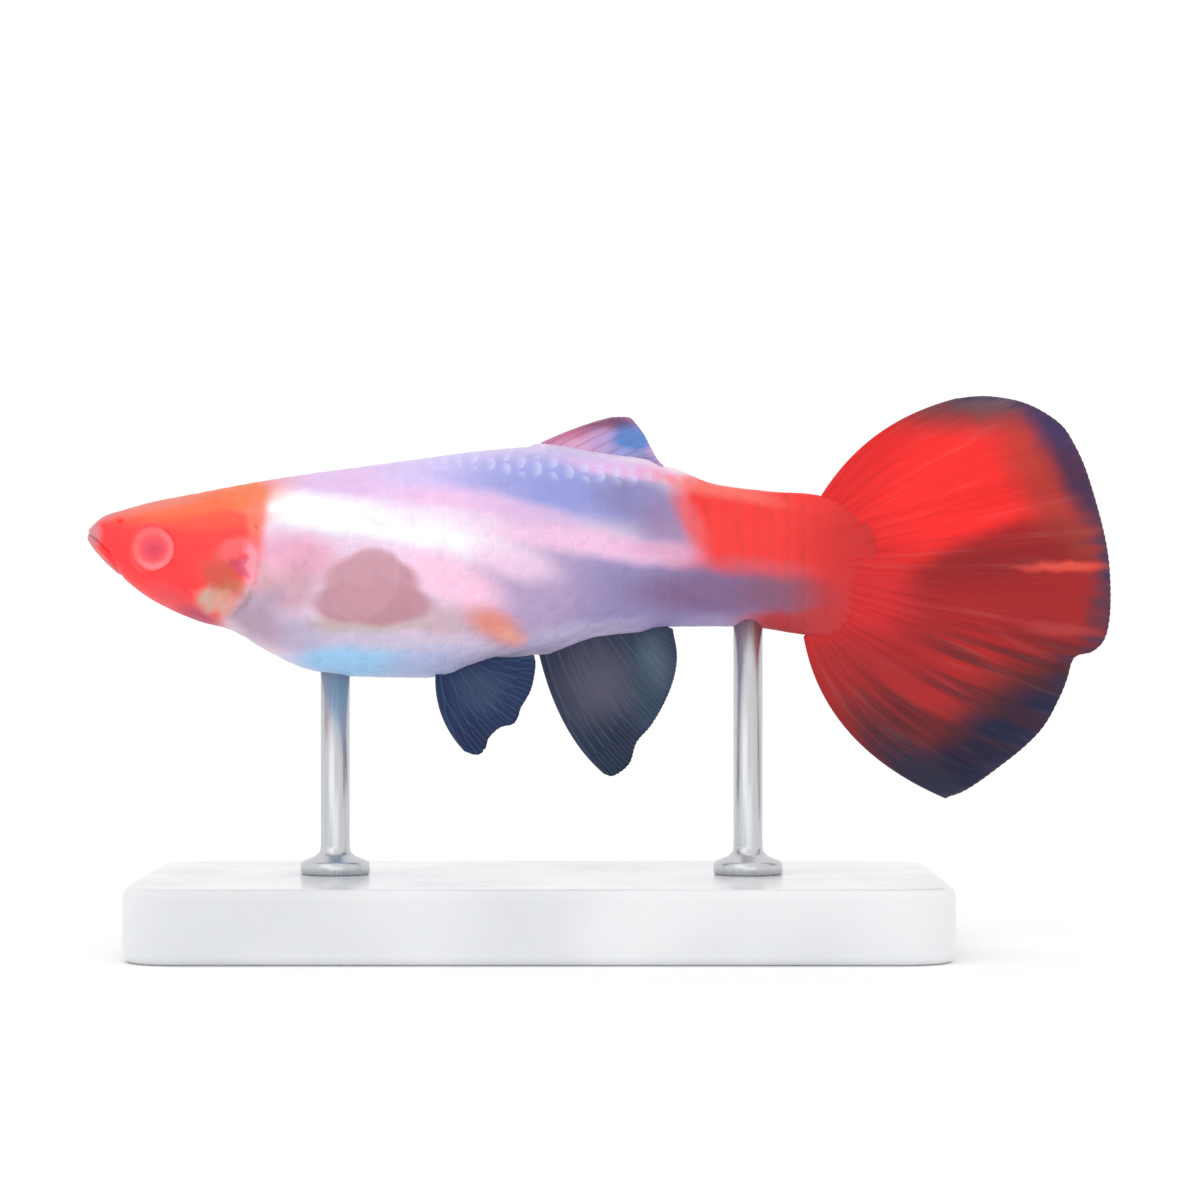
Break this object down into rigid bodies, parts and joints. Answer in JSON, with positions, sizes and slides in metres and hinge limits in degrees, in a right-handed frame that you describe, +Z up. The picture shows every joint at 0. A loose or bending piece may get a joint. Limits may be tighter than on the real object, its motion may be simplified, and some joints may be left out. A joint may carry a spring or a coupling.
{
  "type": "fancy guppy display model",
  "caption": "Life-size still model of a red and pearl-white female fancy guppy with spread fins, held over a flat base by slim rods.",
  "frame": {"origin": "on the floor, under the middle of the model's length and width, at the underside of the stand's base", "axes": "+X runs along the fish from the snout towards the tail, +Y towards the fish's right side, across the stand's base, +Z up"},
  "size_m": [0.0564, 0.024, 0.0305],
  "materials": {
    "head_skin": "satin, scarlet fish skin",
    "jaw_skin": "satin, grey-pink lip",
    "gill_cover_skin": "satin, coral-brown plate",
    "trunk_skin": "pearly white to lavender",
    "tail_stem_skin": "satin, scarlet with a violet-grey band",
    "eye": "wet gloss, pink-red",
    "caudal_membrane": "red ray fin with a slate margin",
    "dorsal_membrane": "rose and pale blue ray fin",
    "anal_membrane": "slate ray fin",
    "pelvic_membrane": "navy ray fin",
    "pectoral_membrane": "clear ray fin",
    "stand_base_finish": "satin white acrylic",
    "stand_rod_steel": "fine brushed steel"
  },
  "bodies": {
    "root": {"head": "head_skin", "lower_jaw": "jaw_skin", "gill_cover_left": "gill_cover_skin", "gill_cover_right": "gill_cover_skin", "eye_left": "eye", "eye_right": "eye", "trunk": "trunk_skin", "tail_stem": "tail_stem_skin", "dorsal_fin": "dorsal_membrane", "anal_fin": "anal_membrane", "caudal_fin": "caudal_membrane", "pelvic_fin_left": "pelvic_membrane", "pelvic_fin_right": "pelvic_membrane", "pectoral_fin_left": "pectoral_membrane", "pectoral_fin_right": "pectoral_membrane", "stand_base": "stand_base_finish", "stand_rod_front": "stand_rod_steel", "stand_rod_rear": "stand_rod_steel"}
  },
  "joints": []
}
